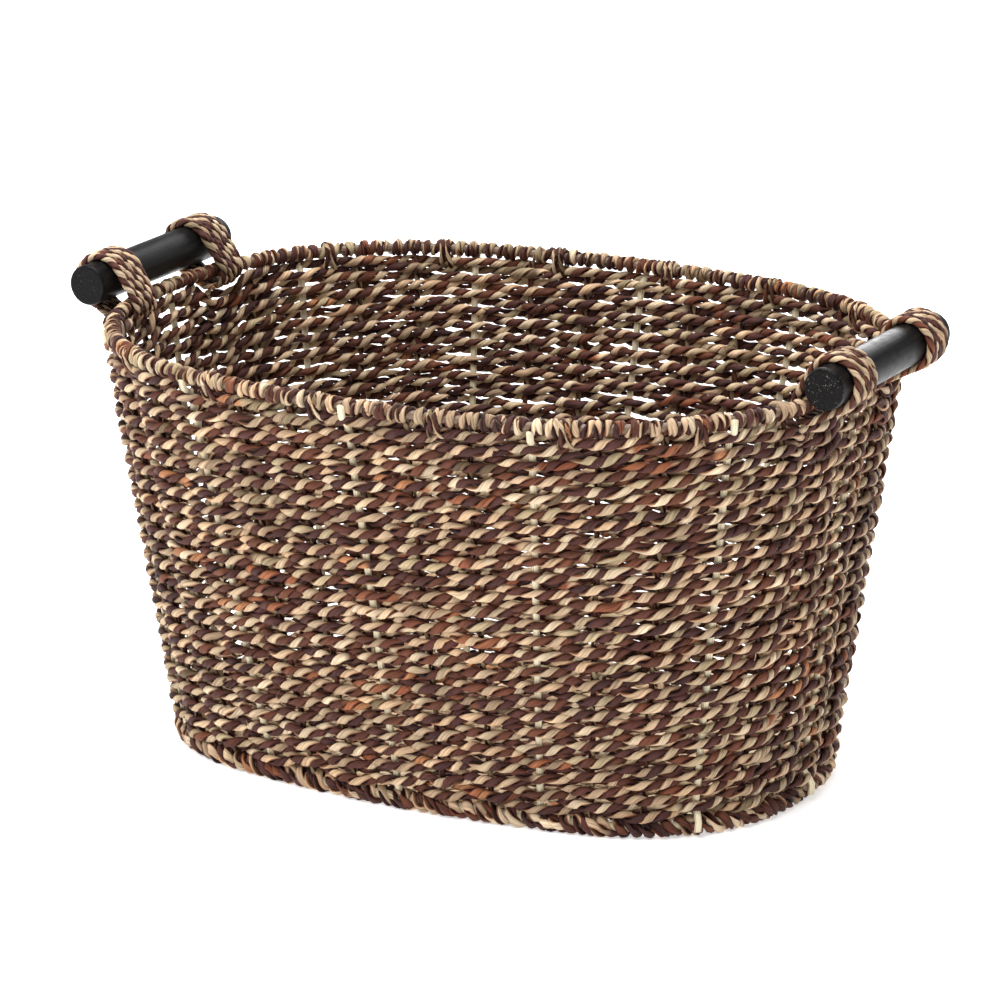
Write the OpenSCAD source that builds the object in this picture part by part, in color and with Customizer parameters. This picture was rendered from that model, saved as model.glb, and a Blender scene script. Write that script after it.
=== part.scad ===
// Oval storage basket woven from two-ply seagrass cord over upright stakes,
// with a wrapped rim, a wrapped foot and two turned wooden bar handles, each
// hung from the rim by two rope loops.
// The origin is on the floor, under the middle of the basket. X runs along
// the basket, from one handle to the other, and Z is up.

/* [Basket] */
// Length of the rim between the middles of its two ends
rim_length = 481; // [450:1:520]
// Width of the rim between the middles of its two sides
rim_width = 380; // [360:1:400]
// Length of the foot between the middles of its two ends
foot_length = 412; // [390:1:430]
// Width of the foot between the middles of its two sides
foot_width = 258; // [245:1:275]
// Height of the middle of the rim above the floor
rim_height = 267; // [240:1:300]
// Radius of the rim's corners, seen from above
rim_corner = 161; // [150:1:170]
// Radius of the foot's corners, seen from above
foot_corner = 101; // [92:1:110]

/* [Weave] */
// Number of upright stakes round the wall
stake_count = 36; // [36]
// Every how many stakes one is a smooth pale cane
cane_every = 3; // [3]
// Thickness of the woven wall
wall_thick = 12; // [10:0.5:14]
// Diameter of a cane stake
cane_d = 4.4; // [3.5:0.1:5]
// Diameter of the cords that make the other stakes
warp_d = 3.4; // [2.5:0.1:4]
// Thickness of the woven base
base_thick = 8; // [6:0.5:9]
// Spacing of the canes that the base is woven over
base_pitch = 34; // [30:1:40]

/* [Borders] */
// Diameter of the hoop inside the rim
rim_hoop_d = 5.6; // [4:0.1:6]
// Diameter of the rim over its wrapping
rim_d = 10.2; // [9:0.1:11]
// Diameter of the hoop inside the foot
foot_hoop_d = 5.6; // [4:0.1:6]
// Diameter of the foot over its wrapping
foot_d = 12.6; // [10:0.1:14]
// Width of one lashing that ties the rim to the wall
lashing_w = 3.2; // [2:0.1:4]

/* [Handles] */
// Diameter of a handle bar
bar_d = 25.4; // [22:0.1:28]
// Length of a handle bar
bar_length = 152; // [140:1:160]
// Distance from the basket's middle to the middle of a bar
bar_out = 252.5; // [251:0.5:255]
// Height of the middle of a bar above the floor
bar_height = 282.5; // [282:0.5:289]
// Rounding of the bar's end edges
bar_edge = 2; // [1:0.5:3]
// Distance from the bar's middle to the middle of a rope loop
loop_at = 51; // [48:1:54]
// Width of a rope loop along the bar
loop_w = 25; // [20:1:27]
// Thickness of the rope in a loop
loop_thick = 5; // [4:0.1:6]

/* [Hidden] */
$fn = 64;
// Normal angles at which the oval changes from its end arc to its corner arc
// and from its corner arc to its side arc.
end_turn = 8;
side_turn = 78;
// A small gap between pieces that only lie against each other
gap = 0.1;
wall_half = wall_thick / 2;
// Sides of the hoops' and the bindings' sections
hoop_sides = 10;
binding_sides = 14;
// The foot stands on the flat lowest side of its binding.
foot_z = foot_d / 2 * cos(180 / binding_sides);
wall_z0 = 2 * foot_z + gap;
wall_z1 = rim_height - rim_d / 2 - gap;
band_h = (wall_z1 - wall_z0) / 3;
base_z = foot_z - base_thick / 2 + 1;
// Running clearance of the bar in its loops, and the slack of a loop on the
// rim, which runs a little askew inside the loop
bar_clear = 0.05;
rim_slack = 2.8;
loop_rim_r = rim_d / 2 + rim_slack;
loop_bar_r = bar_d / 2 + bar_clear;
pull_in = 0.97;
slot_w = loop_w + 1;
slot_z = rim_height - loop_rim_r - loop_thick - 1;
// Lashing: a flat ring that goes round the rim and through the wall
lash_t = 1.8;
lash_in = wall_half + 0.4;
lash_drop = 13;
// One gap between stakes in this many has a lashing.
lash_every = 2;

function two_digits(i) = i < 10 ? str("0", i) : str(i);
function is_cane(i) = i % cane_every == 0;
function stake_name(i) = str(is_cane(i) ? "cane_stake_" : "cord_stake_", two_digits(i + 1));
function mix(a, b, t) = a + (b - a) * t;

// The oval: two end arcs, two side arcs and four corner arcs that all meet
// smoothly. It is given by half its length, half its width and its corner
// radius, and the two larger radii follow from those.
function side_gain() = 1 / cos(side_turn) - tan(side_turn);
function end_radius(a, b, rc) =
    (b - a * side_gain() - rc * (1 - sin(end_turn) - cos(end_turn) * side_gain()))
    / (sin(end_turn) - side_gain() * (1 - cos(end_turn)));
function corner_x(a, b, rc) = a - end_radius(a, b, rc) + (end_radius(a, b, rc) - rc) * cos(end_turn);
function corner_y(a, b, rc) = (end_radius(a, b, rc) - rc) * sin(end_turn);
function side_radius(a, b, rc) = rc + corner_x(a, b, rc) / cos(side_turn);

// Arcs of the oval from the +X end round anticlockwise: centre x, centre y,
// radius, start angle and sweep
function oval_arcs(a, b, rc) = let (
    re = end_radius(a, b, rc),
    rs = side_radius(a, b, rc),
    cx = corner_x(a, b, rc),
    cy = corner_y(a, b, rc),
    corner = side_turn - end_turn,
    side = 180 - 2 * side_turn
) [
    [a - re, 0, re, -end_turn, 2 * end_turn],
    [cx, cy, rc, end_turn, corner],
    [0, b - rs, rs, side_turn, side],
    [-cx, cy, rc, 180 - side_turn, corner],
    [re - a, 0, re, 180 - end_turn, 2 * end_turn],
    [-cx, -cy, rc, 180 + end_turn, corner],
    [0, rs - b, rs, 180 + side_turn, side],
    [cx, -cy, rc, 360 - side_turn, corner]
];

// Outline of the oval, with a point about every step degrees on its corner
// arcs and twice as many on the flatter arcs between them
function oval_outline(a, b, rc, step = 7) = let (arcs = oval_arcs(a, b, rc)) [
    for (i = [0:7])
        let (arc = arcs[i], n = ceil(arc[4] / (i % 2 == 0 ? step / 2 : step)))
            for (k = [0:n - 1])
                let (t = arc[3] + arc[4] * k / n)
                    [arc[0] + arc[2] * cos(t), arc[1] + arc[2] * sin(t)]
];

// Size of the wall's middle at height z: half length, half width, corner
function wall_size(z) = let (t = (z - foot_z) / (rim_height - foot_z)) [
    mix(foot_length, rim_length, t) / 2,
    mix(foot_width, rim_width, t) / 2,
    mix(foot_corner, rim_corner, t)
];

// A point at the fraction s of the way round the oval, from the +X end
function arc_length(arc) = arc[2] * arc[4] * PI / 180;
function quarter_length(arcs) = arc_length(arcs[0]) / 2 + arc_length(arcs[1]) + arc_length(arcs[2]) / 2;
function quarter_angle(arcs, u) = let (
    l0 = arc_length(arcs[0]) / 2,
    l1 = l0 + arc_length(arcs[1])
) u < l0 ? u / arcs[0][2] * 180 / PI
    : u < l1 ? end_turn + (u - l0) / arcs[1][2] * 180 / PI
    : side_turn + (u - l1) / arcs[2][2] * 180 / PI;
function quarter_point(arcs, t) = let (
    arc = t < end_turn ? arcs[0] : t < side_turn ? arcs[1] : arcs[2]
) [arc[0] + arc[2] * cos(t), arc[1] + arc[2] * sin(t)];
function turn_at(z, s) = let (
    w = wall_size(z),
    arcs = oval_arcs(w[0], w[1], w[2]),
    q = floor(s * 4),
    f = s * 4 - q,
    t = quarter_angle(arcs, (q % 2 == 0 ? f : 1 - f) * quarter_length(arcs))
) q == 0 ? t : q == 1 ? 180 - t : q == 2 ? 180 + t : 360 - t;
function wall_point(z, s) = let (
    w = wall_size(z),
    arcs = oval_arcs(w[0], w[1], w[2]),
    q = floor(s * 4),
    f = s * 4 - q,
    p = quarter_point(arcs, quarter_angle(arcs, (q % 2 == 0 ? f : 1 - f) * quarter_length(arcs)))
) [q == 1 || q == 2 ? -p[0] : p[0], q >= 2 ? -p[1] : p[1], z];

// Solid oval cone between two heights, grown outwards by grow
module oval_cone(z0, z1, grow) {
    w0 = wall_size(z0);
    w1 = wall_size(z1);
    low = oval_outline(w0[0] + grow, w0[1] + grow, w0[2] + grow);
    high = oval_outline(w1[0] + grow, w1[1] + grow, w1[2] + grow);
    n = len(low);
    polyhedron(
        points = concat([for (p = low) [p[0], p[1], z0]], [for (p = high) [p[0], p[1], z1]]),
        faces = concat(
            [[for (i = [0:n - 1]) i]],
            [[for (i = [0:n - 1]) 2 * n - 1 - i]],
            [for (i = [0:n - 1]) [i, n + i, n + (i + 1) % n, (i + 1) % n]]
        )
    );
}

// Rings of points round a closed tube that follows the oval at height z
function tube_ring(size, z, r, sides) = [
    for (k = [0:sides - 1])
        let (t = (k + 0.5) * 360 / sides)
            [r * sin(t), z - r * cos(t)]
];

// Closed tube along the oval, with a flat edge at the bottom of its section
module oval_tube(size, z, r, sides) {
    section = tube_ring(size, z, r, sides);
    outlines = [for (p = section) oval_outline(size[0] + p[0], size[1] + p[0], size[2] + p[0])];
    n = len(outlines[0]);
    polyhedron(
        points = [for (i = [0:n - 1]) for (k = [0:sides - 1]) [outlines[k][i][0], outlines[k][i][1], section[k][1]]],
        faces = [
            for (i = [0:n - 1])
                for (k = [0:sides - 1])
                    let (i2 = (i + 1) % n, k2 = (k + 1) % sides)
                        [i * sides + k, i * sides + k2, i2 * sides + k2, i2 * sides + k]
        ]
    );
}

// A round rod between two points
module rod(p, q, d, sides = $fn) {
    v = q - p;
    translate(p)
        rotate([0, acos(v[2] / norm(v)), atan2(v[1], v[0])])
            cylinder(h = norm(v), d = d, $fn = sides);
}

// A stake stops under the slot where a rope loop goes through the wall.
function stake_s(i) = i / stake_count;
function under_loop(i) = let (p = wall_point(rim_height, stake_s(i)))
    abs(abs(p[1]) - loop_at) < slot_w / 2 + warp_d && abs(p[0]) > rim_length / 4;
function stake_top(i) = under_loop(i) ? slot_z - 1 : wall_z1 - gap;
function stake_d(i) = is_cane(i) ? cane_d : warp_d;

function stake_foot_at(i) = wall_point(wall_z0 + gap, stake_s(i));
function stake_top_at(i) = wall_point(stake_top(i), stake_s(i));

module stake(i) {
    rod(stake_foot_at(i), stake_top_at(i), stake_d(i));
}

// The twelve-sided way through the weave that a stake stands in. It goes out
// through the foot of the wall, and through its top unless the stake ends
// under a rope loop.
module stake_way(i) {
    v = stake_top_at(i) - stake_foot_at(i);
    u = v / norm(v);
    over = under_loop(i) ? gap : 1;
    rod(stake_foot_at(i) - u, stake_top_at(i) + over * u, (stake_d(i) + gap) / cos(15), 12);
}

module wall_band(k) {
    z0 = wall_z0 + k * band_h;
    z1 = z0 + band_h;
    difference() {
        oval_cone(z0, z1, wall_half);
        oval_cone(z0 - 1, z1 + 1, -wall_half);
        for (i = [0:stake_count - 1])
            stake_way(i);
        if (k == 2) {
            loop_slots();
            for (i = [0:stake_count - 1])
                if (has_lashing(i))
                    lashing(i, gap);
        }
    }
}

// Slots in the top of the wall that the rope loops pass through
module loop_slots() {
    for (x = [-1, 1])
        for (y = [-1, 1])
            translate([x * rim_length / 2 - 30, y * loop_at - slot_w / 2, slot_z])
                cube([60, slot_w, 60]);
}

// Lashings sit half way between the stakes, clear of the rope loops.
function lash_s(i) = (i + 0.5) / stake_count;
function has_lashing(i) = let (p = wall_point(rim_height, lash_s(i)))
    i % lash_every == 0
    && (abs(p[1]) > bar_length / 2 + lashing_w || abs(p[0]) < rim_length / 4);

module lashing_ring(grow) {
    difference() {
        lashing_outline(lash_in + lash_t + grow, lash_drop + lash_t + grow);
        lashing_outline(lash_in - grow, lash_drop - grow);
    }
}

module lashing_outline(r, drop) {
    translate([-r, -drop])
        square([2 * r, drop]);
    circle(r);
}

module lashing(i, grow = 0) {
    p = wall_point(rim_height, lash_s(i));
    q = wall_point(rim_height - lash_drop, lash_s(i));
    t = turn_at(rim_height, lash_s(i));
    lean = atan2(norm([p[0] - q[0], p[1] - q[1]]), lash_drop);
    w = lashing_w + 2 * grow;
    translate(p)
        rotate([0, 0, t])
            rotate([0, lean, 0])
                rotate([90, 0, 0])
                    translate([0, 0, -w / 2])
                        linear_extrude(w)
                            lashing_ring(grow);
}

module base_outline(grow) {
    w = wall_size(foot_z);
    r = foot_d / 2 + gap - grow;
    polygon(oval_outline(w[0] - r, w[1] - r, w[2] - r));
}

// Half the length of a base cane at distance x from the middle
function base_half(x) = let (
    w = wall_size(foot_z),
    m = foot_d / 2 + 4,
    arcs = oval_arcs(w[0] - m, w[1] - m, w[2] - m),
    arc = abs(x) > arcs[1][0] + arcs[1][2] * cos(side_turn) ? arcs[1] : arcs[2]
) arc[1] + sqrt(arc[2] * arc[2] - (abs(x) - arc[0]) * (abs(x) - arc[0]));

module base_canes(extra = 0) {
    n = floor(foot_length / 2 / base_pitch) - 1;
    for (k = [-n:n])
        rod([k * base_pitch, -base_half(k * base_pitch) - extra, base_z + base_thick / 2],
            [k * base_pitch, base_half(k * base_pitch) + extra, base_z + base_thick / 2],
            cane_d + extra);
}

module base_mat() {
    color("tan")
        difference() {
            translate([0, 0, base_z])
                linear_extrude(base_thick)
                    base_outline(0);
            base_canes(2 * gap);
        }
}

module base_stakes() {
    color("wheat")
        base_canes();
}

module foot_hoop() {
    color("wheat")
        oval_tube(wall_size(foot_z), foot_z, foot_hoop_d / 2, hoop_sides);
}

module binding(z, d, hoop_d) {
    difference() {
        oval_tube(wall_size(z), z, d / 2, binding_sides);
        oval_tube(wall_size(z), z, hoop_d / 2 + gap, hoop_sides);
    }
}

module foot_binding() {
    color("sienna")
        binding(foot_z, foot_d, foot_hoop_d);
}

module wall_weave_lower() {
    color("rosybrown")
        wall_band(0);
}

module wall_weave_middle() {
    color("tan")
        wall_band(1);
}

module wall_weave_upper() {
    color("rosybrown")
        wall_band(2);
}

module wall_stake(i) {
    color(is_cane(i) ? "wheat" : "darkolivegreen")
        stake(i);
}

module rim_hoop() {
    color("wheat")
        oval_tube(wall_size(rim_height), rim_height, rim_hoop_d / 2, hoop_sides);
}

module rim_binding() {
    color("sienna")
        binding(rim_height, rim_d, rim_hoop_d);
}

module rim_lashings() {
    color("khaki")
        for (i = [0:stake_count - 1])
            if (has_lashing(i))
                lashing(i);
}

// A turned bar along Y with rounded end edges
module bar(side) {
    r = bar_d / 2;
    h = bar_length / 2;
    color("#2b2727")
        translate([side * bar_out, 0, bar_height])
            rotate([90, 0, 0])
                rotate_extrude()
                    bar_section(r, h);
}

module bar_section(r, h) {
    translate([0, bar_edge - h])
        square([r, 2 * (h - bar_edge)]);
    translate([0, -h])
        square([r - bar_edge, 2 * h]);
    for (y = [-1, 1])
        intersection() {
            translate([r - bar_edge, y * (h - bar_edge)])
                circle(r = bar_edge);
            translate([r - bar_edge, y > 0 ? h - bar_edge : -h])
                square([bar_edge, bar_edge]);
        }
}

// How far the rim's middle is from the basket's middle at distance y along it
function rim_x_at(y) = let (
    w = wall_size(rim_height),
    re = end_radius(w[0], w[1], w[2]),
    rc = w[2],
    dy = y - corner_y(w[0], w[1], w[2])
) y < re * sin(end_turn)
    ? w[0] - re + sqrt(re * re - y * y)
    : corner_x(w[0], w[1], w[2]) + sqrt(rc * rc - dy * dy);

// The rim runs askew through a loop, so the loop's own centre on the rim is
// half way between where the rim enters and where it leaves.
function loop_rim_x() = (rim_x_at(loop_at - loop_w / 2) + rim_x_at(loop_at + loop_w / 2)) / 2;

// Belt outline round the rim and the bar: two circles joined by two straight
// runs that leave each circle a little inside its tangent, as pulled rope does
module belt(r_rim, r_bar, d) {
    circle(r_rim);
    translate([d, 0])
        circle(r_bar);
    polygon([
        [0, pull_in * r_rim],
        [0, -pull_in * r_rim],
        [d, -pull_in * r_bar],
        [d, pull_in * r_bar]
    ]);
}

module rope_loop(side, front) {
    dx = bar_out - loop_rim_x();
    dz = bar_height - rim_height;
    d = norm([dx, dz]);
    color("peru")
        translate([side * loop_rim_x(), front * loop_at, rim_height])
            mirror([side < 0 ? 1 : 0, 0, 0])
                rotate([90, -atan2(dz, dx), 0])
                    translate([0, 0, -loop_w / 2])
                        linear_extrude(loop_w)
                            difference() {
                                belt(loop_rim_r + loop_thick, loop_bar_r + loop_thick, d);
                                belt(loop_rim_r, loop_bar_r, d);
                            }
}

base_mat();
base_stakes();
foot_hoop();
foot_binding();
wall_weave_lower();
wall_weave_middle();
wall_weave_upper();
for (i = [0:stake_count - 1])
    wall_stake(i);
rim_hoop();
rim_binding();
rim_lashings();
bar(-1);  // left_bar
rope_loop(-1, -1);  // left_front_loop
rope_loop(-1, 1);  // left_back_loop
bar(1);  // right_bar
rope_loop(1, -1);  // right_front_loop
rope_loop(1, 1);  // right_back_loop
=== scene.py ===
"""The looks of the seagrass basket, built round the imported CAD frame.

Lengths are metres in the frame's own axes: X along the basket, Y towards the
back, Z up. Every cord is real geometry: two plies, twisted together.
"""
import math

import bpy
import numpy as np
from mathutils import Matrix, Vector


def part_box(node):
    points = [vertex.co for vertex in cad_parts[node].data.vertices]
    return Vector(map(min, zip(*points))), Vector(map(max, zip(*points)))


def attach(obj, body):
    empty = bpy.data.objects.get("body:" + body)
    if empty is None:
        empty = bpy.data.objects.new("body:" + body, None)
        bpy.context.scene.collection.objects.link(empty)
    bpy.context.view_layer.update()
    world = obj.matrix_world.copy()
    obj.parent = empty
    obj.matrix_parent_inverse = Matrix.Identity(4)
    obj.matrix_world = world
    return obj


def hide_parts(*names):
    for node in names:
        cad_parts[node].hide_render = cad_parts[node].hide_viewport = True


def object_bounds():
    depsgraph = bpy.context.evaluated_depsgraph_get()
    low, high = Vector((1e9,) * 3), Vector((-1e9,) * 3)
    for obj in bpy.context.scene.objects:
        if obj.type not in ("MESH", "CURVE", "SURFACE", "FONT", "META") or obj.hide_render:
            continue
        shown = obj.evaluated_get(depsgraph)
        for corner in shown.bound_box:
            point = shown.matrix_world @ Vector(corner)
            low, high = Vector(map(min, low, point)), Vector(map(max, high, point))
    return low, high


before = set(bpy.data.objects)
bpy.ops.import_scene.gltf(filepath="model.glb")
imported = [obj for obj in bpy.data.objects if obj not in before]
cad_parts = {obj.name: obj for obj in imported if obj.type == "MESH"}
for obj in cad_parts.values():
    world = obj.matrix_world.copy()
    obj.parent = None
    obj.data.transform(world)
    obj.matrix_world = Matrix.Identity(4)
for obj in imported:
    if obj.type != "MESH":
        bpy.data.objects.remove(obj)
cad_low, cad_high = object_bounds()

MM = 0.001
TAU = 2 * math.pi

# ---------------------------------------------------------------- the design
# The oval that rim, wall and foot follow, as in the CAD source: the angles that
# its end arcs and corner arcs turn to, the corners' radii, and the stakes
END_TURN = math.radians(8)
SIDE_TURN = math.radians(78)
RIM_CORNER = 161 * MM
FOOT_CORNER = 101 * MM
STAKES = 36
CANE_EVERY = 3


def middle(node):
    """The middle of a node's box, and half its sides."""
    low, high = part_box(node)
    low, high = np.array(low), np.array(high)
    return (low + high) / 2, (high - low) / 2


rim_mid, rim_half = middle("rim_hoop")
foot_mid, foot_half = middle("foot_hoop")
rim_hoop_r = rim_half[2]
foot_hoop_r = foot_half[2]
rim_z, foot_z = rim_mid[2], foot_mid[2]
rim_r = middle("rim_binding")[1][2]
foot_r = middle("foot_binding")[1][2]
bar_mid, bar_half = middle("right_bar")
loop_mid, loop_half = middle("right_front_loop")

# Size of the wall's middle at the foot and at the rim: half length, half
# width and corner radius
FOOT_SIZE = np.array([foot_half[0] - foot_hoop_r, foot_half[1] - foot_hoop_r, FOOT_CORNER])
RIM_SIZE = np.array([rim_half[0] - rim_hoop_r, rim_half[1] - rim_hoop_r, RIM_CORNER])

# A cord's two plies, in parts of the cord's size: how far each lies from its
# middle, and their half size towards that middle and across it
OFFSET = 0.265
ACROSS = 0.25
OVER = 0.35
# The wall: length of one twist, number of courses, and objects in each band
LAY = 16.8 * MM
COURSES = 48
BANDS = {"lower": 3, "middle": 3, "upper": 3}
# Meshes: points round a ply, and rings along it in one twist
SIDES = 8
SEGMENTS = 10
# Canes: radius, and the height at which stakes stand in the foot
CANE_R = 2.2 * MM
STAKE_FOOT = 9.5 * MM

rng = np.random.default_rng(20)


# ------------------------------------------------------------------ the oval
def oval(size, s):
    """Points (x, y) at fractions s of the way round ovals of the given sizes.

    Each quarter has an end arc, a corner arc and a side arc. Returns the points
    and the length all the way round.
    """
    a, b, rc = np.moveaxis(np.asarray(size, float), -1, 0)
    gain = 1 / math.cos(SIDE_TURN) - math.tan(SIDE_TURN)
    sin_e, cos_e = math.sin(END_TURN), math.cos(END_TURN)
    end_r = (b - a * gain - rc * (1 - sin_e - cos_e * gain)) / (sin_e - gain * (1 - cos_e))
    cx = a - end_r + (end_r - rc) * cos_e
    cy = (end_r - rc) * sin_e
    side_r = rc + cx / math.cos(SIDE_TURN)
    end_l = end_r * END_TURN
    corner_l = end_l + rc * (SIDE_TURN - END_TURN)
    quarter = corner_l + side_r * (math.pi / 2 - SIDE_TURN)
    s4 = np.mod(s, 1.0) * 4
    q = np.minimum(np.floor(s4), 3)
    f = s4 - q
    odd = np.mod(q, 2) == 1
    u = np.where(odd, 1 - f, f) * quarter
    on_end, on_corner = u < end_l, u < corner_l
    past_corner = SIDE_TURN + (u - corner_l) / side_r
    t = np.where(on_end, u / end_r, np.where(on_corner, END_TURN + (u - end_l) / rc, past_corner))
    x = np.where(on_end, a - end_r + end_r * np.cos(t),
                 np.where(on_corner, cx + rc * np.cos(t), side_r * np.cos(t)))
    y = np.where(on_end, end_r * np.sin(t),
                 np.where(on_corner, cy + rc * np.sin(t), b - side_r + side_r * np.sin(t)))
    x = np.where((q == 1) | (q == 2), -x, x)
    y = np.where(q >= 2, -y, y)
    return np.stack([x, y], -1), 4 * quarter


def wall_size(z):
    """The wall's size at heights z."""
    t = (np.asarray(z, float) - foot_z) / (rim_z - foot_z)
    return FOOT_SIZE + (RIM_SIZE - FOOT_SIZE) * t[..., None]


def wall(s, z):
    """Points of the wall's middle surface."""
    s, z = np.broadcast_arrays(np.asarray(s, float), np.asarray(z, float))
    xy, _ = oval(wall_size(z), s)
    return np.concatenate([xy, z[..., None]], -1)


def perimeter(z):
    """Length round the wall's middle at height z."""
    return float(oval(wall_size(np.array(z)), np.array(0.0))[1])


def unit(v):
    """The vectors, each made one long."""
    return v / np.maximum(np.linalg.norm(v, axis=-1, keepdims=True), 1e-12)


def slope(p, closed):
    """Direction of travel along a line of points."""
    if closed:
        return unit(np.roll(p, -1, 0) - np.roll(p, 1, 0))
    return unit(np.gradient(p, axis=0))


def side_name(side):
    """The person's name of a side: -1 is left and 1 is right."""
    return "left" if side < 0 else "right"


def wall_frame(s, z):
    """Middle surface points, the outward direction and the way up the wall."""
    p = wall(s, z)
    step = 1e-4
    along = unit(wall(s + step, z) - wall(s - step, z))
    up = unit(wall(s, z + step) - wall(s, z - step))
    out = unit(np.cross(along, up))
    return p, out, unit(np.cross(out, along))


def smooth(x, low, high):
    """0 below low, 1 above high, and an eased rise between."""
    t = np.clip((x - low) / (high - low), 0, 1)
    return t * t * (3 - 2 * t)


# -------------------------------------------------------------- colour of ply
def srgb(*c):
    """Linear values of a colour given as 0 to 255."""
    c = np.array(c, float) / 255
    return np.where(c <= 0.04045, c / 12.92, ((c + 0.055) / 1.055) ** 2.4)


PALE = np.array([
    srgb(214, 186, 151), srgb(206, 175, 142), srgb(198, 172, 140), srgb(219, 195, 163),
    srgb(190, 165, 133), srgb(184, 163, 128), srgb(208, 174, 138), srgb(171, 144, 115),
])
DARK = np.array([
    srgb(84, 45, 37), srgb(73, 38, 33), srgb(92, 51, 35), srgb(81, 42, 30),
    srgb(66, 35, 31), srgb(102, 57, 38), srgb(86, 47, 33), srgb(77, 42, 37),
])
RUST = np.array([srgb(152, 92, 60), srgb(130, 73, 48), srgb(176, 120, 80), srgb(124, 73, 50)])
OLIVE = np.array([srgb(128, 108, 80), srgb(110, 88, 64), srgb(148, 130, 100)])
CANE_TINTS = np.array([srgb(230, 216, 184), srgb(220, 204, 170), srgb(238, 224, 194)])

# How often a leaf of the other family is used by mistake, and how far a leaf's
# colour runs into the next one, in metres
STRAY = 0.05
COLOUR_RUN = 0.005


def ply_tint(length, count, family, rust, olive):
    """Colour along one ply: pieces of leaf, each a little different."""
    at = np.linspace(0, length, count)
    ends, colours = [0.0], []
    while ends[-1] < length:
        pick = rng.random()
        if pick < rust:
            group, piece = RUST, rng.uniform(0.012, 0.06)
        elif pick < rust + olive:
            group, piece = OLIVE, rng.uniform(0.02, 0.09)
        elif pick > 1 - STRAY:
            group, piece = (DARK if family is PALE else PALE), rng.uniform(0.01, 0.04)
        else:
            group, piece = family, rng.uniform(0.02, 0.13)
        ends.append(ends[-1] + piece)
        colours.append(group[rng.integers(len(group))] * rng.uniform(0.84, 1.14))
    which = np.clip(np.searchsorted(ends, at, side="right") - 1, 0, len(colours) - 1)
    tint = np.array(colours)[which]
    width = max(1, int(count * COLOUR_RUN / max(length, 1e-6)))
    if width > 1:
        kernel = np.ones(width) / width
        pad = np.pad(tint, ((width, width), (0, 0)), mode="edge")
        blurred = [np.convolve(pad[:, c], kernel, "same")[width:-width] for c in range(3)]
        tint = np.stack(blurred, -1)
    return tint


def wander(count, waves):
    """A smooth random line of size about one that ends as it starts."""
    t = np.arange(count) / count * TAU
    line = np.zeros(count)
    for w in waves:
        line += rng.normal() * np.sin(w * t + rng.uniform(0, TAU))
    return line / math.sqrt(max(len(waves), 1) / 2)


# ------------------------------------------------------------- mesh building
class Soup:
    """Vertices, faces and their attributes, gathered into one mesh."""

    def __init__(self):
        self.verts, self.tints, self.grains = [], [], []
        self.quads, self.caps = [], []
        self.count = 0

    def add(self, verts, quads, caps, tint, grain):
        """Adds one piece; grain is metres along it, and two numbers round it."""
        self.verts.append(verts)
        self.tints.append(tint)
        self.grains.append(grain)
        self.quads.append(quads + self.count)
        self.caps += [c + self.count for c in caps]
        self.count += len(verts)

    def tube(self, centre, across, over, half_across, half_over, tint, closed, sides=SIDES, u0=0.0):
        """A tube along centre; its oval section has the given half sizes.

        A closed tube joins end to start, and an open one has flat caps.
        """
        n = len(centre)
        half_across = np.broadcast_to(half_across, (n,)).astype(float)
        half_over = np.broadcast_to(half_over, (n,)).astype(float)
        theta = np.arange(sides) / sides * TAU
        c, s = np.cos(theta), np.sin(theta)
        ring = (centre[:, None]
                + (half_across[:, None] * c)[..., None] * across[:, None]
                + (half_over[:, None] * s)[..., None] * over[:, None])
        step = np.linalg.norm(np.diff(centre, axis=0), axis=1)
        u = np.concatenate([[0], np.cumsum(step)]) + u0
        grain = np.stack(np.broadcast_arrays(u[:, None], c[None], s[None]), -1)
        rows = n if closed else n - 1
        i = np.arange(rows)[:, None]
        k = np.arange(sides)[None]
        i2, k2 = (i + 1) % n, (k + 1) % sides
        quads = np.stack(np.broadcast_arrays(
            i * sides + k, i * sides + k2, i2 * sides + k2, i2 * sides + k), -1).reshape(-1, 4)
        verts = ring.reshape(-1, 3)
        a, b, c, d = (verts[quads[:, j]] for j in range(4))
        volume = np.einsum("ij,ij->i", a, np.cross(b, c)).sum()
        volume += np.einsum("ij,ij->i", a, np.cross(c, d)).sum()
        caps = [] if closed else [np.arange(sides), np.arange(sides) + (n - 1) * sides]
        turned = volume < 0
        if turned:
            quads = quads[:, ::-1]
        if not closed:
            caps = [caps[0] if turned else caps[0][::-1], caps[1][::-1] if turned else caps[1]]
        self.add(verts, quads, caps, np.repeat(tint, sides, 0), grain.reshape(-1, 3))

    def build(self, name, material, body, nodes=()):
        """Makes one object of all that was added."""
        verts = np.concatenate(self.verts)
        quads = np.concatenate(self.quads)
        loops = [quads.ravel()] + self.caps
        sizes = np.concatenate([np.full(len(quads), 4), [len(c) for c in self.caps]]).astype(int)
        mesh = bpy.data.meshes.new(name)
        mesh.vertices.add(len(verts))
        mesh.vertices.foreach_set("co", verts.astype(np.float32).ravel())
        loops = np.concatenate(loops).astype(np.int32)
        mesh.loops.add(len(loops))
        mesh.loops.foreach_set("vertex_index", loops)
        mesh.polygons.add(len(sizes))
        starts = np.concatenate([[0], np.cumsum(sizes)[:-1]]).astype(np.int32)
        mesh.polygons.foreach_set("loop_start", starts)
        mesh.update(calc_edges=True)
        mesh.polygons.foreach_set("use_smooth", np.ones(len(sizes), bool))
        tint = np.concatenate(self.tints)
        rgba = np.concatenate([tint, np.ones((len(tint), 1))], -1).astype(np.float32)
        colours = mesh.color_attributes.new("tint", "FLOAT_COLOR", "POINT")
        colours.data.foreach_set("color", rgba.ravel())
        grain = np.concatenate(self.grains).astype(np.float32)
        fibres = mesh.attributes.new("grain", "FLOAT_VECTOR", "POINT")
        fibres.data.foreach_set("vector", grain.ravel())
        mesh.validate()
        return place(name, mesh, material, body, nodes)


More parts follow.
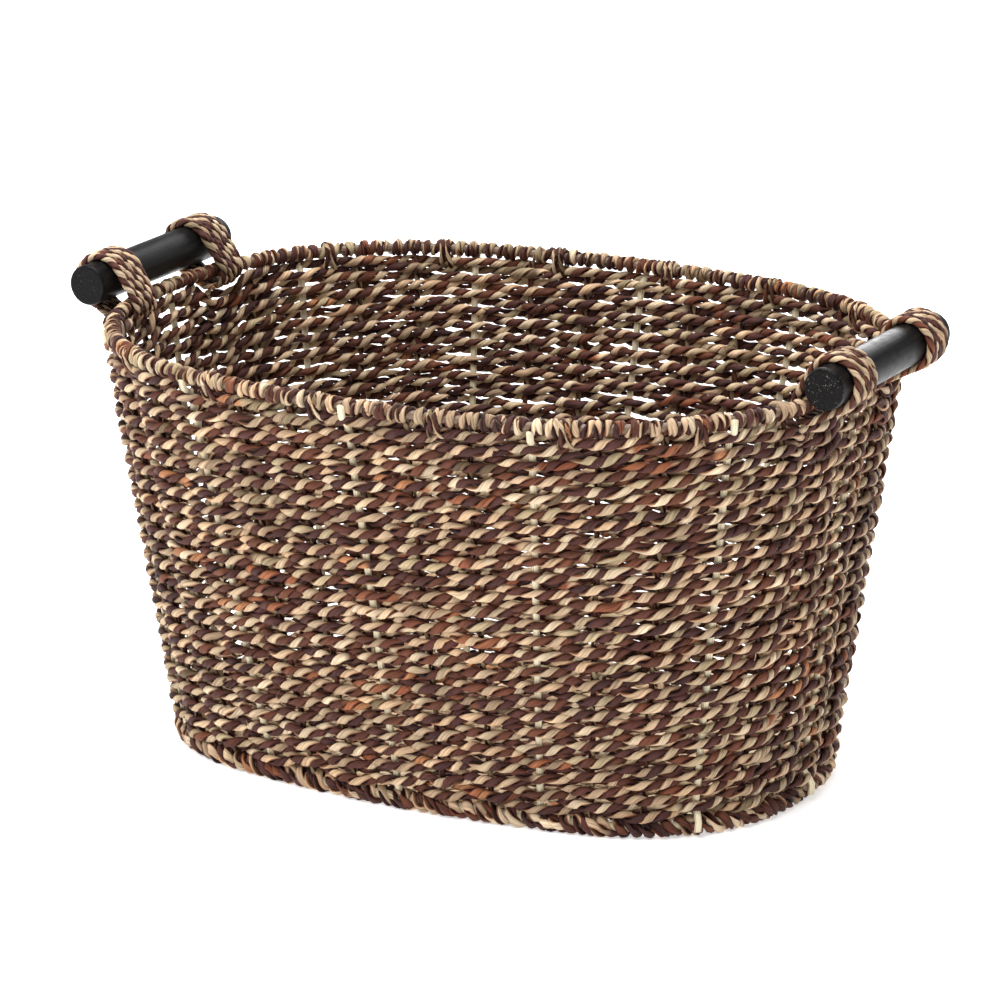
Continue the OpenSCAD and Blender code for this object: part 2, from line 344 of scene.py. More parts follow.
def place(name, mesh, material, body, nodes=()):
    """Makes the object of a mesh and tells the frame what it is."""
    piece = bpy.data.objects.new(name, mesh)
    bpy.context.scene.collection.objects.link(piece)
    mesh.materials.append(material)
    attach(piece, body)
    if nodes:
        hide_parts(*nodes)
    return piece


# How far apart the fibre patterns of a cord's plies start, in metres, and how
# much a ply's size changes along it
PLY_SHIFT = 3.1
SWELL = 0.07


def cord(soup, centre, out, up, closed, turns, phase, thick, tall, squeeze=1.0,
         families=(PALE, DARK), sides=SIDES, u0=0.0, rust=0.08, olive=0.03, drift=0.0, full=1.0):
    """Two plies twisted round a centre line.

    thick is the cord's size along out and tall its size along up. squeeze
    makes it flatter along up where it is under one, drift makes its twist
    uneven, and full makes the plies fill the cord more.
    """
    n = len(centre)
    t = np.arange(n) / (n if closed else n - 1)
    squeeze = np.broadcast_to(squeeze, (n,))
    thick = np.broadcast_to(thick, (n,))
    length = np.linalg.norm(np.diff(centre, axis=0), axis=1).sum()
    for k, family in enumerate(families):
        turn = phase + TAU * turns * t + drift + k * TAU / len(families)
        away = ((np.cos(turn) * OFFSET * thick)[:, None] * out
                + (np.sin(turn) * OFFSET * tall * squeeze)[:, None] * up)
        line = centre + away
        along = slope(line, closed)
        across = unit(away - np.sum(away * along, -1, keepdims=True) * along)
        over = np.cross(along, across)
        # A ply is pressed against the other one: flat towards the cord's middle
        facing = np.abs(np.cos(turn))
        half_across = ACROSS * (thick * facing + tall * squeeze * (1 - facing))
        half_over = full * OVER * (tall * squeeze * facing + thick * (1 - facing))
        swell = 1 + SWELL * wander(n, (9, 21, 34, 55, 89, 127, 170))
        tint = ply_tint(length, n, family, rust, olive)
        soup.tube(line, across, over, half_across * swell, half_over * swell, tint, closed,
                  sides, u0 + k * PLY_SHIFT)


# ------------------------------------------------------------------ materials
class Graph:
    """Short ways to make and join a material's nodes."""

    def __init__(self, name):
        self.material = bpy.data.materials.new(name)
        self.material.use_nodes = True
        self.tree = self.material.node_tree
        self.tree.nodes.clear()
        self.out = self.node("ShaderNodeOutputMaterial")
        self.shader = self.node("ShaderNodeBsdfPrincipled")
        self.join(self.shader.outputs["BSDF"], self.out.inputs["Surface"])

    def node(self, kind, **values):
        made = self.tree.nodes.new(kind)
        for key, value in values.items():
            setattr(made, key, value)
        return made

    def join(self, source, target):
        self.tree.links.new(source, target)

    def feed(self, socket, value):
        if hasattr(value, "is_linked"):
            self.join(value, socket)
        else:
            socket.default_value = value

    def attribute(self, name, output="Vector"):
        return self.node("ShaderNodeAttribute", attribute_name=name).outputs[output]

    def scaled(self, vector, scale):
        made = self.node("ShaderNodeVectorMath", operation="MULTIPLY")
        self.join(vector, made.inputs[0])
        made.inputs[1].default_value = scale
        return made.outputs["Vector"]

    def noise(self, vector, scale, detail=2.0, rough=0.5):
        made = self.node("ShaderNodeTexNoise")
        self.join(vector, made.inputs["Vector"])
        made.inputs["Scale"].default_value = scale
        made.inputs["Detail"].default_value = detail
        made.inputs["Roughness"].default_value = rough
        return made.outputs["Fac"]

    def remap(self, value, low, high, to_low, to_high, eased=False):
        kind = "SMOOTHSTEP" if eased else "LINEAR"
        made = self.node("ShaderNodeMapRange", interpolation_type=kind)
        self.join(value, made.inputs["Value"])
        limits = {"From Min": low, "From Max": high, "To Min": to_low, "To Max": to_high}
        for key, number in limits.items():
            made.inputs[key].default_value = number
        return made.outputs["Result"]

    def math(self, operation, a, b):
        made = self.node("ShaderNodeMath", operation=operation)
        self.feed(made.inputs[0], a)
        self.feed(made.inputs[1], b)
        return made.outputs["Value"]

    def part(self, vector, axis):
        made = self.node("ShaderNodeSeparateXYZ")
        self.join(vector, made.inputs[0])
        return made.outputs[axis]

    def shade(self, colour, factor):
        """The colour times a number."""
        made = self.node("ShaderNodeVectorMath", operation="SCALE")
        self.feed(made.inputs[0], colour)
        self.feed(made.inputs["Scale"], factor)
        return made.outputs["Vector"]

    def mix(self, factor, a, b):
        made = self.node("ShaderNodeMix", data_type="RGBA")
        self.feed(made.inputs["Factor"], factor)
        self.feed(made.inputs["A"], a)
        self.feed(made.inputs["B"], b)
        return made.outputs["Result"]

    def bump(self, height, distance, strength=1.0):
        made = self.node("ShaderNodeBump")
        self.join(height, made.inputs["Height"])
        made.inputs["Distance"].default_value = distance
        made.inputs["Strength"].default_value = strength
        self.join(made.outputs["Normal"], self.shader.inputs["Normal"])


def fibre_material(name, roughness, fibre_depth, groove_shade=0.2, along=110.0, around=5.0):
    """Rolled leaf or split cane: fibres run along it, and its grooves get painted shade, dark and warm.
    """
    g = Graph(name)
    grain = g.attribute("grain")
    tint = g.attribute("tint", "Color")
    # Patterns: fine fibres, broad folds, patches of colour, and dark creases
    fibres = g.noise(g.scaled(grain, (along, around, around)), 1.0, 3.0, 0.65)
    folds = g.noise(g.scaled(grain, (along * 0.4, around * 0.36, around * 0.36)), 1.0, 2.0)
    blotches = g.noise(g.scaled(grain, (along * 0.35, 0.9, 0.9)), 1.0, 2.0)
    creases = g.noise(g.scaled(grain, (along * 0.25, around * 2.2, around * 2.2)), 1.0, 2.0)
    tone = g.remap(fibres, 0.28, 0.72, 0.72, 1.22)
    tone = g.math("MULTIPLY", tone, g.remap(folds, 0.32, 0.68, 0.70, 1.22))
    tone = g.math("MULTIPLY", tone, g.remap(blotches, 0.3, 0.7, 0.82, 1.14))
    tone = g.math("MULTIPLY", tone, g.remap(creases, 0.30, 0.44, 0.66, 1.0, True))
    lit = g.shade(tint, tone)
    # Painted shade: the side that faces the cord's middle is darkened down to the given groove shade,
    # with a warm tint painted in for light bounced between the plies
    painted_groove_shade = g.remap(g.part(grain, "Y"), -0.55, 0.5, groove_shade, 1.0, True)
    warm_painted_shade = g.mix(painted_groove_shade, (1.1, 0.42, 0.2, 1), (1, 1, 1, 1))
    made = g.node("ShaderNodeVectorMath", operation="MULTIPLY")
    g.join(lit, made.inputs[0])
    g.join(g.shade(warm_painted_shade, painted_groove_shade), made.inputs[1])
    g.feed(g.shader.inputs["Base Color"], made.outputs["Vector"])
    g.feed(g.shader.inputs["Roughness"], g.remap(fibres, 0.3, 0.7, roughness - 0.08, roughness + 0.1))
    g.shader.inputs["Specular IOR Level"].default_value = 0.25
    height = g.math("ADD", fibres, g.remap(creases, 0.30, 0.44, -0.6, 0.0, True))
    height = g.math("ADD", height, g.math("MULTIPLY", folds, 2.4))
    g.bump(height, fibre_depth)
    return g.material


def stained_wood_material():
    """Close-grained wood under a thin black stain, satin, worn a little at its edges."""
    g = Graph("black_stained_wood")
    grain = g.attribute("grain")
    lines = g.noise(g.scaled(grain, (22.0, 900.0, 900.0)), 1.0, 3.0, 0.6)
    mottle = g.noise(g.scaled(grain, (160.0, 160.0, 160.0)), 1.0, 3.0, 0.6)
    flecks = g.noise(g.scaled(grain, (1100.0, 1100.0, 1100.0)), 1.0, 2.0, 0.6)
    wear = g.attribute("wear", "Fac")
    deep, pale = (0.0018, 0.0016, 0.0018, 1), (0.0065, 0.0056, 0.0056, 1)
    body = g.mix(g.remap(lines, 0.35, 0.7, 0.0, 1.0), deep, pale)
    worn = g.math("MULTIPLY", wear, g.remap(flecks, 0.64, 0.70, 0.0, 1.0, True))
    worn = g.math("MULTIPLY", worn, g.remap(mottle, 0.42, 0.6, 0.0, 1.0, True))
    colour = g.mix(worn, body, (0.30, 0.27, 0.24, 1))
    g.feed(g.shader.inputs["Base Color"], colour)
    g.feed(g.shader.inputs["Roughness"], g.remap(mottle, 0.3, 0.7, 0.30, 0.46))
    g.shader.inputs["Specular IOR Level"].default_value = 0.1
    height = g.math("ADD", lines, g.math("MULTIPLY", flecks, wear))
    g.bump(height, 0.00012)
    return g.material


WEAVE = fibre_material("seagrass_weave", 0.62, 0.00034)
BINDING = fibre_material("seagrass_binding", 0.62, 0.0003)
WARP = fibre_material("seagrass_warp", 0.68, 0.0002)
ROPE = fibre_material("seagrass_rope", 0.6, 0.00034)
CANE = fibre_material("rattan_cane", 0.5, 0.00005, groove_shade=1.0, along=60.0, around=9.0)
WOOD = stained_wood_material()


# ----------------------------------------------------------------- the weave
def find_loop_places():
    """Where along the rim the four loops are, as fractions of the way round."""
    s = np.linspace(0, 0.12, 2401)
    y = oval(RIM_SIZE, s)[0][:, 1]
    near = float(s[np.argmin(np.abs(y - abs(loop_mid[1])))])
    return [near, 0.5 - near, 0.5 + near, 1 - near]


loop_places = find_loop_places()
FIRST_Z = 2 * foot_z + 2.9 * MM
LAST_Z = rim_z - rim_r - 2.6 * MM
PITCH = (LAST_Z - FIRST_Z) / (COURSES - 1)
CORD_TALL = 7.15 * MM
CORD_THICK = 5.6 * MM
# The top courses are pushed down where a rope loop goes through the wall: by
# this much at the top, over this many courses, this far to each side, and then
# fading over this much more
SLOT_DIP = 8.1 * MM
SLOT_COURSES = 9
SLOT_HALF = 11 * MM
SLOT_FADE = 12 * MM
# How far a cord's middle stands off the wall's middle at canes and cord stakes
CANE_REACH = 4.3 * MM
CORD_REACH = 3.9 * MM


def loop_nearness(s):
    """1 where a rope loop goes through the wall, falling to 0 beside it."""
    near = np.zeros_like(s)
    length = perimeter(rim_z)
    for place_s in loop_places:
        away = np.abs((s - place_s + 0.5) % 1.0 - 0.5) * length
        near = np.maximum(near, 1 - np.clip((away - SLOT_HALF) / SLOT_FADE, 0, 1))
    return near * near * (3 - 2 * near)


def stake_reach(s):
    """How far a cord's middle stands off the wall's middle at a stake."""
    at = np.arange(STAKES + 1)
    reach = np.where(at % CANE_EVERY == 0, CANE_REACH, CORD_REACH)
    return np.interp(s * STAKES, at, reach)


def course(soup, k):
    """One closed ring of cord, over and under the stakes in turn."""
    base_z = FIRST_Z + k * PITCH
    length = perimeter(base_z)
    n = int(round(length / LAY * SEGMENTS))
    s = np.arange(n) / n
    # Rises from 0 to 1 over the top courses
    top = max(0, k - (COURSES - 1 - SLOT_COURSES)) / SLOT_COURSES
    slot = top * loop_nearness(s)
    uneven = 0.56 * MM * wander(n, (2, 5, 9, 14, 23, 31, 43, 57, 71, 83))
    z = base_z + uneven - SLOT_DIP * slot
    side = np.cos(STAKES * math.pi * s) * (-1) ** k
    w = stake_reach(s) * side + 0.3 * MM * wander(n, (7, 13, 29))
    centre, out, up = wall_frame(s, z)
    centre = centre + w[:, None] * out
    from_cane = np.abs((s * STAKES / CANE_EVERY + 0.5) % 1.0 - 0.5) * CANE_EVERY
    at_cane = 1 - smooth(from_cane, 0.05, 0.42)
    # Cords lie flatter between stakes, at canes, on the far wall and in the slots
    squeeze = 0.85 + 0.17 * np.abs(side) - 0.19 * at_cane - 0.025 * (1 + np.sin(TAU * s)) - 0.1 * slot
    turns = round(length / (LAY * rng.uniform(0.95, 1.06)))
    cord(soup, centre, out, up, True, turns, rng.uniform(0, TAU), CORD_THICK, CORD_TALL, squeeze,
         drift=0.6 * wander(n, (3, 8, 15, 26, 47, 71)), full=1.07)


def weave_wall():
    """All the courses, in the bands that the CAD has."""
    names = [(band, part) for band in BANDS for part in range(BANDS[band])]
    per = COURSES / len(names)
    for i, (band, part) in enumerate(names):
        soup = Soup()
        for k in range(round(i * per), round((i + 1) * per)):
            course(soup, k)
        name = "wall_weave_" + band
        soup.build(f"{name}_cords_{part + 1}", WEAVE, "basket", (name,))


# ------------------------------------------------------------------- borders
def wrapped_border(name, node, z, outer_r, pitch, thick, tall, lay, segments, lean, sense):
    """A cord wound closely round the hoop at height z, out to outer_r.

    pitch is the length of hoop that a wrap covers, lay the cord's own twist,
    segments the rings in a wrap, lean how far a wrap slants along the hoop, and
    sense the way it winds.
    """
    length = perimeter(z)
    wraps = round(length / pitch)
    n = wraps * segments
    t = np.arange(n) / n
    phi = sense * TAU * wraps * t + 0.2 * wander(n, (17, 41, 73))
    s = t + (0.35 * pitch * wander(n, (11, 37, 89, 131)) - lean * np.sin(phi)) / length
    s = s % 1.0
    mid, out, _ = wall_frame(s, np.full(n, z))
    up = np.array([0.0, 0.0, 1.0])
    out = unit(out * [1, 1, 0])
    radial = np.cos(phi)[:, None] * out + np.sin(phi)[:, None] * up
    reach = outer_r + 0.25 * MM - thick / 2 + 0.22 * MM * wander(n, (23, 61, 113, 197))
    # The handles rub on the rim, so its wraps are pressed in at the two ends
    pressed = 0.6 * MM
    by_handle = smooth(-np.abs(mid[:, 1]), -bar_half[1] - 6 * MM, -bar_half[1] + 4 * MM)
    by_handle = by_handle * (np.abs(mid[:, 0]) > rim_half[0] / 2) * (z > cad_high[2] / 2)
    reach = reach - pressed * by_handle
    centre = mid + reach[:, None] * radial
    along = slope(centre, True)
    beside = unit(np.cross(radial, along))
    total = np.linalg.norm(np.diff(centre, axis=0), axis=1).sum()
    soup = Soup()
    cord(soup, centre, radial, beside, True, round(total / lay), 0.0, thick, tall,
         drift=0.9 * wander(n, (19, 47, 83, 140)), full=1.12, rust=0.05)
    for verts in soup.verts:
        verts[:, 2] = np.maximum(verts[:, 2], 0.05 * MM)
    return soup.build(name, BINDING, "basket", (node,))


def lashings():
    """Long turns of the rim's cord that go down through the top of the wall."""
    out_to, over_rim, into_wall = 5.1 * MM, 4.6 * MM, 12.0 * MM
    soup = Soup()
    n = 90
    for i in range(0, STAKES, 2):
        s0 = (i + 0.5) / STAKES
        p = wall(s0, rim_z)
        if abs(p[0]) > rim_half[0] / 2 and abs(p[1]) < bar_half[1] + 3 * MM:
            continue
        for spread in (-1, 1):
            angle = TAU * (np.arange(n) / n)
            # A long ring: round over the rim, pointed where it goes through the wall
            out_by = out_to * np.cos(angle)
            down = np.where(np.sin(angle) < 0, -np.sin(angle), 0)
            rise = np.where(np.sin(angle) > 0, over_rim * np.sin(angle), -into_wall * down ** 0.8)
            s = s0 + spread * (1.6 * MM + 2.2 * MM * down) / perimeter(rim_z)
            mid, out, up = wall_frame(s, np.full(n, rim_z))
            centre = mid + out_by[:, None] * out + rise[:, None] * up
            hub = mid + (np.minimum(rise, 0) * 0.6)[:, None] * up
            radial = unit(centre - hub)
            along = slope(centre, True)
            beside = unit(np.cross(radial, along))
            cord(soup, centre, radial, beside, True, 3, rng.uniform(0, TAU), 2.9 * MM, 3.7 * MM,
                 sides=7, rust=0.04, olive=0.12)
    return soup.build("rim_lashing_cords", BINDING, "basket", ("rim_lashings",))


# -------------------------------------------------------------------- stakes
# Canes that run down outside the foot, and canes that end under a bar
OUTSIDE_CANES = (0, 15, 33)
UNDER_BAR_CANES = (0, STAKES // 2)


def cane_stake(i):
    """A peeled cane that bends out past the rim's wrapping, unless a bar is there."""
    name = f"cane_stake_{i + 1:02d}"
    s = i / STAKES
    outside = i in OUTSIDE_CANES
    low = 5.5 * MM if outside else STAKE_FOOT
    under_bar = i in UNDER_BAR_CANES
    high = rim_z + (-3.0 if under_bar else 2.4 if i % 2 else -1.0) * MM
    z = np.concatenate([[low], np.linspace(low + 0.4 * MM, high, 90)])
    mid, out, _ = wall_frame(np.full(len(z), s), np.maximum(z, foot_z))
    mid[:, 2] = z
    foot_out = (foot_r + 1.9 * MM) if outside else 0.0
    by = foot_out * (1 - smooth(z, 11 * MM, 21 * MM))
    by = by + (0.0 if under_bar else 4.9 * MM) * smooth(z, rim_z - 13 * MM, rim_z - 5 * MM)
    by = by + 0.15 * MM * wander(len(z), (2, 3, 5))
    centre = mid + by[:, None] * out
    along = slope(centre, False)
    across = unit(np.cross(along, out))
    over = np.cross(across, along)
    stain = 1 + 0.05 * wander(len(z), (3, 8, 17))
    tint = np.repeat(CANE_TINTS[0][None], len(z), 0) * stain[:, None]
    radius = CANE_R * (1 + 0.02 * wander(len(z), (4, 9)))
    soup = Soup()
    soup.tube(centre, across, over, radius, radius * 0.9, tint, False, sides=12, u0=i * 0.7)
    return soup.build(name + "_peeled", CANE, "basket", (name,))


def cord_stake(i, node_top):
    """A thin dark doubled cord."""
    name = f"cord_stake_{i + 1:02d}"
    s = i / STAKES
    z = np.linspace(STAKE_FOOT, node_top, 130)
    n = len(z)
    centre, out, up = wall_frame(np.full(n, s), np.maximum(z, foot_z))
    centre[:, 2] = z
    beside = unit(np.cross(out, up))
    centre = centre + (0.3 * MM * wander(n, (2, 3, 7)))[:, None] * beside
    soup = Soup()
    cord(soup, centre, out, beside, False, 10, rng.uniform(0, TAU), 3.6 * MM, 4.0 * MM,
         families=(DARK, OLIVE), sides=7, rust=0.05, olive=0.2)
    return soup.build(name + "_doubled", WARP, "basket", (name,))


def stakes():
    """Every third stake is a cane, and the others are cords."""
    for i in range(STAKES):
        if i % CANE_EVERY == 0:
            cane_stake(i)
        else:
            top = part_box(f"cord_stake_{i + 1:02d}")[1][2]
            cord_stake(i, top)


# ---------------------------------------------------------------------- base
def base():
    """Rows of cord along the basket, over and under canes that run across it."""
    cane_mid, cane_half = middle("base_stakes")
    pitch = 34 * MM
    row = 5.6 * MM
    rings_a_twist = 8
    cord_reach = 3.1 * MM
    edge = FOOT_SIZE - (foot_r + 0.4 * MM)
    rows = int((edge[1] - row / 2) // row)
    outline, _ = oval(edge, np.linspace(0, 0.25, 600))
    soup = Soup()
    for j in range(-rows, rows + 1):
        y = j * row
        reach = float(np.interp(abs(y), outline[:, 1], outline[:, 0]))
        n = int(2 * reach / LAY * rings_a_twist)
        x = np.linspace(-reach, reach, n)
        side = np.cos(math.pi * x / pitch) * (-1) ** j
        y_uneven = y + 0.25 * MM * wander(n, (2, 5, 9))
        centre = np.stack([x, y_uneven, cane_mid[2] + cord_reach * side], -1)
        centre[:, 2] = np.maximum(centre[:, 2], 3.2 * MM)
        out = np.repeat(np.array([[0.0, 0.0, 1.0]]), n, 0)
        beside = np.repeat(np.array([[0.0, 1.0, 0.0]]), n, 0)
        squeeze = 0.88 + 0.14 * np.abs(side)
        cord(soup, centre, out, beside, False, 2 * reach / LAY, rng.uniform(0, TAU), 4.4 * MM,
             7.2 * MM, squeeze, sides=6, drift=0.5 * wander(n, (2, 5, 9)), full=1.08)
    for verts in soup.verts:
        verts[:, 2] = np.maximum(verts[:, 2], 0.6 * MM)
    soup.build("base_mat_cords", WEAVE, "basket", ("base_mat",))

    soup = Soup()
    count = int(cane_half[0] // pitch)
    for j in range(-count, count + 1):
        x = j * pitch
        reach = float(np.interp(-abs(x), -outline[:, 0], outline[:, 1])) - 1 * MM
        n = 60
        y = np.linspace(-reach, reach, n)
        centre = np.stack([x + 0.3 * MM * wander(n, (1, 2, 3)), y, np.full(n, cane_mid[2])], -1)
        along = slope(centre, False)
        over = np.repeat(np.array([[0.0, 0.0, 1.0]]), n, 0)
        across = unit(np.cross(along, over))
        tint = np.repeat(CANE_TINTS[j % 3][None], n, 0)
        soup.tube(centre, across, over, CANE_R, 2.0 * MM, tint, False, sides=12, u0=j * 0.9)
    soup.build("base_canes", CANE, "basket", ("base_stakes",))


# -------------------------------------------------------------- handle pieces
def belt(t, bar_x, rim_x, bar_reach, rim_reach):
    """Points of a belt round the bar and the rim, starting on the rim's far side.

    t counts turns. Returns the points as (x, z), the directions away from the
    rim's or the bar's middle, and the length of one turn.
    """
    rise = bar_mid[2] - rim_z
    gap = math.hypot(bar_x - rim_x, rise)
    lead = math.atan2(rise, bar_x - rim_x)
    open_by = math.acos((rim_reach - bar_reach) / gap)
    straight = math.sqrt(gap ** 2 - (bar_reach - rim_reach) ** 2)
    rim_arc = rim_reach * (TAU - 2 * open_by)
    bar_arc = bar_reach * 2 * open_by
    total = rim_arc + bar_arc + 2 * straight
    d = (t % 1.0) * total
    first = rim_arc / 2
    points = np.zeros((len(d), 2))
    radial = np.zeros((len(d), 2))
    start = lead + math.pi

    rim = np.array([rim_x, rim_z]), rim_reach
    bar = np.array([bar_x, bar_mid[2]]), bar_reach

    def arc(mask, wheel, angle):
        """Fills in the points that lie on a wheel, which is a middle and a radius."""
        radial[mask] = np.stack([np.cos(angle), np.sin(angle)], -1)
        points[mask] = wheel[0] + wheel[1] * radial[mask]

    def run(mask, wheel, next_wheel, angle, done):
        """Fills in the straight points from one wheel to the next."""
        side = np.array([math.cos(angle), math.sin(angle)])
        a = wheel[0] + wheel[1] * side
        b = next_wheel[0] + next_wheel[1] * side
        points[mask] = a + (b - a) * (done / straight)[:, None]
        radial[mask] = side

    to_bar = first + straight
    off_bar = to_bar + bar_arc
    m = d < first
    arc(m, rim, start + d[m] / rim_reach)
    m = (d >= first) & (d < to_bar)
    run(m, rim, bar, lead - open_by, d[m] - first)
    m = (d >= to_bar) & (d < off_bar)
    arc(m, bar, lead - open_by + (d[m] - to_bar) / bar_reach)
    m = (d >= off_bar) & (d < total - first)
    run(m, bar, rim, lead + open_by, d[m] - off_bar)
    m = d >= total - first
    arc(m, rim, start - (total - d[m]) / rim_reach)
    return points, radial, total


def rope_loop(side, place_y, name):
    """Seven turns of fine rope round the rim and the bar."""
    passes = 7
    thick = 4.8 * MM
    tall = 4.3 * MM
    twist = 12 * MM
    rings = 110
    rim_line = oval(RIM_SIZE, np.linspace(0, 0.1, 300))[0]
    edges = abs(place_y) + np.array([-1, 1]) * loop_half[1]
    rim_x = float(np.interp(edges, rim_line[:, 1], rim_line[:, 0]).mean())
    n = passes * rings
    t = np.linspace(0.02, passes - 0.02, n)
    clear_of_bar, clear_of_rim = 0.05 * MM, 4.2 * MM
    bar_reach = bar_half[2] + clear_of_bar + thick / 2
    rim_reach = rim_r + clear_of_rim
    points, radial, total = belt(t, bar_mid[0], rim_x, bar_reach, rim_reach)
    on_bar = smooth(points[:, 1], rim_z - 2 * MM, bar_mid[2] + 4 * MM)
    pitch = (3.2 + 0.4 * on_bar) * MM
    y = place_y + (t - passes / 2) * pitch + 0.3 * MM * wander(n, (7, 13, 19))
    proud = np.abs(0.35 * MM * wander(n, (5, 11, 17)))
    points = points + proud[:, None] * radial
    centre = np.stack([side * points[:, 0], y, points[:, 1]], -1)
    out = np.stack([side * radial[:, 0], np.zeros(n), radial[:, 1]], -1)
    along = slope(centre, False)
    beside = unit(np.cross(out, along))
    soup = Soup()
    # The rope is pressed thinner where it goes round the rim
    thick = thick - 1.0 * MM * (1 - smooth(points[:, 1], rim_z - 6 * MM, rim_z + 6 * MM))
    cord(soup, centre, out, beside, False, passes * total / twist, rng.uniform(0, TAU), thick, tall,
         rust=0.04, drift=1.9 * wander(n, (2, 3, 5, 9, 14)), full=1.1)
    body = side_name(side) + "_loops"
    return soup.build(name + "_rope", ROPE, body, (name,))


def handle_bar(side):
    """A turned dowel with eased ends."""
    name = side_name(side) + "_bar"
    r, half = bar_half[2], bar_half[1]
    ease = 1.6 * MM
    sides = 128
    corner = np.linspace(0, math.pi / 2, 9)
    # The profile as (radius, y): an end face, its eased edge, the side, and back
    end = [(q, half) for q in np.linspace(0.6 * MM, r - ease, 14)[:-1]]
    end += [(r - ease + ease * math.sin(c), half - ease + ease * math.cos(c)) for c in corner]
    long_side = [(r, v) for v in np.linspace(half - ease, -(half - ease), 91)[1:-1]]
    other_end = [(q, -v) for q, v in end[::-1]]
    profile = np.array(end + long_side + other_end)
    n = len(profile)
    theta = np.arange(sides) / sides * TAU
    along = profile[:, 1:2]
    # A turned dowel isn't quite round
    wobble = 1 + 0.002 * np.sin(3 * theta[None] + 20 * along)
    wobble = wobble + 0.0015 * np.sin(7 * theta[None] - 45 * along)
    rr = profile[:, 0:1] * wobble
    x = side * bar_mid[0] + rr * np.cos(theta)
    z = bar_mid[2] + rr * np.sin(theta)
    y = np.repeat(along, sides, 1)
    verts = np.stack([x, y, z], -1).reshape(-1, 3)
    i = np.arange(n - 1)[:, None]
    k = np.arange(sides)[None]
    k2 = (k + 1) % sides
    quads = np.stack(np.broadcast_arrays(
        i * sides + k, i * sides + k2, (i + 1) * sides + k2, (i + 1) * sides + k), -1).reshape(-1, 4)
    # Each bar's grain pattern starts somewhere else
    grain = np.stack([y, rr * np.cos(theta), rr * np.sin(theta)], -1).reshape(-1, 3) + side * 0.5
    soup = Soup()
    caps = [np.arange(sides)[::-1], np.arange(sides) + (n - 1) * sides]
    soup.add(verts, quads, caps, np.full((len(verts), 3), 0.01), grain)
    piece = soup.build(name + "_dowel", WOOD, side_name(side) + "_handle_bar",
                       (name,))
    # Wear: the end faces and the last few millimetres show bare flecks, and far
    # fewer on the left bar
    from_end = half - np.abs(verts[:, 1])
    worn = 0.12 + 0.88 * (1 - smooth(from_end, 0.2 * MM, 3.0 * MM))
    if side < 0:
        worn = 0.2 * worn
    wear = piece.data.attributes.new("wear", "FLOAT", "POINT")
    wear.data.foreach_set("value", worn.astype(np.float32))
    return piece


def handles():
    """The two bars and their four rope loops."""
    for side in (-1, 1):
        handle_bar(side)
        rope_loop(side, -abs(loop_mid[1]), side_name(side) + "_front_loop")
        rope_loop(side, abs(loop_mid[1]), side_name(side) + "_back_loop")


# --------------------------------------------------------------- small things
def by_a_handle(point):
    """True where a rocking handle would sweep a loose fibre away."""
    beside, below = 12 * MM, 45 * MM
    x, y, z = np.abs(point)
    return x > rim_half[0] / 2 and y < bar_half[1] + beside and z > rim_z - below


FIBRES = 150
LEAF_ENDS = 70


def loose_fibres():
    """Fine fibres and ends of leaf that stand out of the weave and the rim."""
    soup = Soup()
    n = 9
    t = np.linspace(0, 1, n)[:, None]
    for _ in range(FIBRES):
        s = rng.random()
        on_rim = rng.random() < 0.25
        z = rim_z + rng.uniform(-4, 5) * MM if on_rim else rng.uniform(FIRST_Z, LAST_Z)
        mid, out, up = wall_frame(np.array([s]), np.array([z]))
        if by_a_handle(mid[0]):
            continue
        along = np.cross(up[0], out[0])
        inward = -1 if rng.random() < 0.3 else 1
        start = mid[0] + out[0] * inward * (4.6 if on_rim else 6.0) * MM
        length = rng.uniform(3, 11) * MM
        away = out[0] * inward * rng.uniform(0.3, 0.9)
        heading = unit(away + along * rng.normal() + up[0] * rng.normal() * 0.7)
        curl = unit(rng.normal(size=3)) * rng.uniform(0.2, 0.9)
        centre = start + heading * length * t + curl * length * t * t * 0.5
        direction = slope(centre, False)
        across = unit(np.cross(direction, [0.3, 0.5, 0.8]))
        over = np.cross(direction, across)
        group = PALE if rng.random() < 0.6 else DARK
        tint = np.repeat(group[rng.integers(len(group))][None], n, 0)
        width = rng.uniform(0.12, 0.26) * MM * (1 - 0.75 * t[:, 0])
        soup.tube(centre, across, over, width, width * 0.6, tint, False, sides=5)
    for _ in range(LEAF_ENDS):
        s, z = rng.random(), rng.uniform(FIRST_Z, LAST_Z)
        mid, out, up = wall_frame(np.array([s]), np.array([z]))
        if by_a_handle(mid[0]):
            continue
        along = np.cross(up[0], out[0])
        inward = -1 if rng.random() < 0.35 else 1
        start = mid[0] + out[0] * inward * 5.0 * MM
        away = out[0] * inward * rng.uniform(0.25, 0.6)
        heading = unit(away + along * rng.normal() + up[0] * rng.normal() * 0.6)
        length = rng.uniform(3.5, 7.5) * MM
        centre = start + heading * length * t - out[0] * inward * length * 0.35 * t * t
        direction = slope(centre, False)
        across = unit(np.cross(direction, out[0]))
        over = np.cross(direction, across)
        group = PALE if rng.random() < 0.5 else DARK
        tint = np.repeat(group[rng.integers(len(group))][None], n, 0)
        width = rng.uniform(0.6, 1.2) * MM * (1 - 0.6 * t[:, 0] ** 2)
        soup.tube(centre, across, over, width, 0.2 * MM, tint, False, sides=6)
    return soup.build("loose_fibres", WEAVE, "basket")


